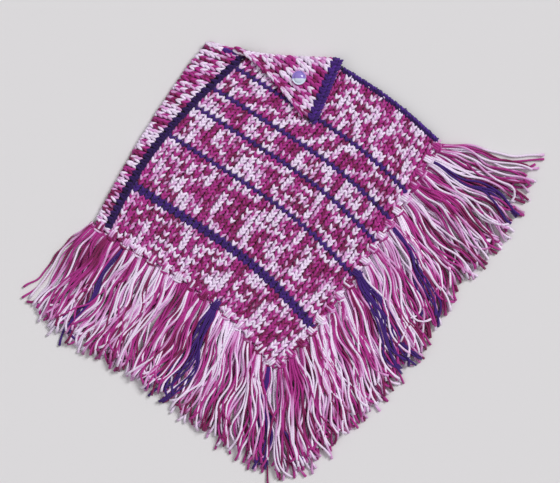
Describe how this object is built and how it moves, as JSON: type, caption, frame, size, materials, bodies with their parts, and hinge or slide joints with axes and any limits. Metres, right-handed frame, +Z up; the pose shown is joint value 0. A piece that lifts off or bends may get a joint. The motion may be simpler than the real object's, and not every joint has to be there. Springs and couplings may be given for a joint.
{
  "type": "knitted poncho sweater, laid flat",
  "caption": "Child's knitted poncho laid flat, with striped stocking-stitch panels, a buttoned lapel at the neck and long yarn fringe along the lower hems.",
  "frame": {"origin": "middle of the whole outline, fringe included, on the surface that the poncho lies on", "axes": "+X along the longest side, to the right of the poncho as it faces the viewer above; +Y from the hem point towards the neck; +Z up, out of its front"},
  "size_m": [0.6805, 0.5687, 0.0192],
  "materials": {
    "knit": "variegated worsted yarn in stocking stitch, matt with a soft sheen",
    "fringe_yarn": "loose worsted yarn ends, white, pink, wine and purple",
    "button_plastic": "smooth moulded plastic, lavender with a pale lower half"
  },
  "bodies": {
    "root": {"back_panel": "knit", "front_panel": "knit", "collar_flap": "knit", "button": "button_plastic", "fringe_left": "fringe_yarn", "fringe_right": "fringe_yarn"}
  },
  "joints": []
}
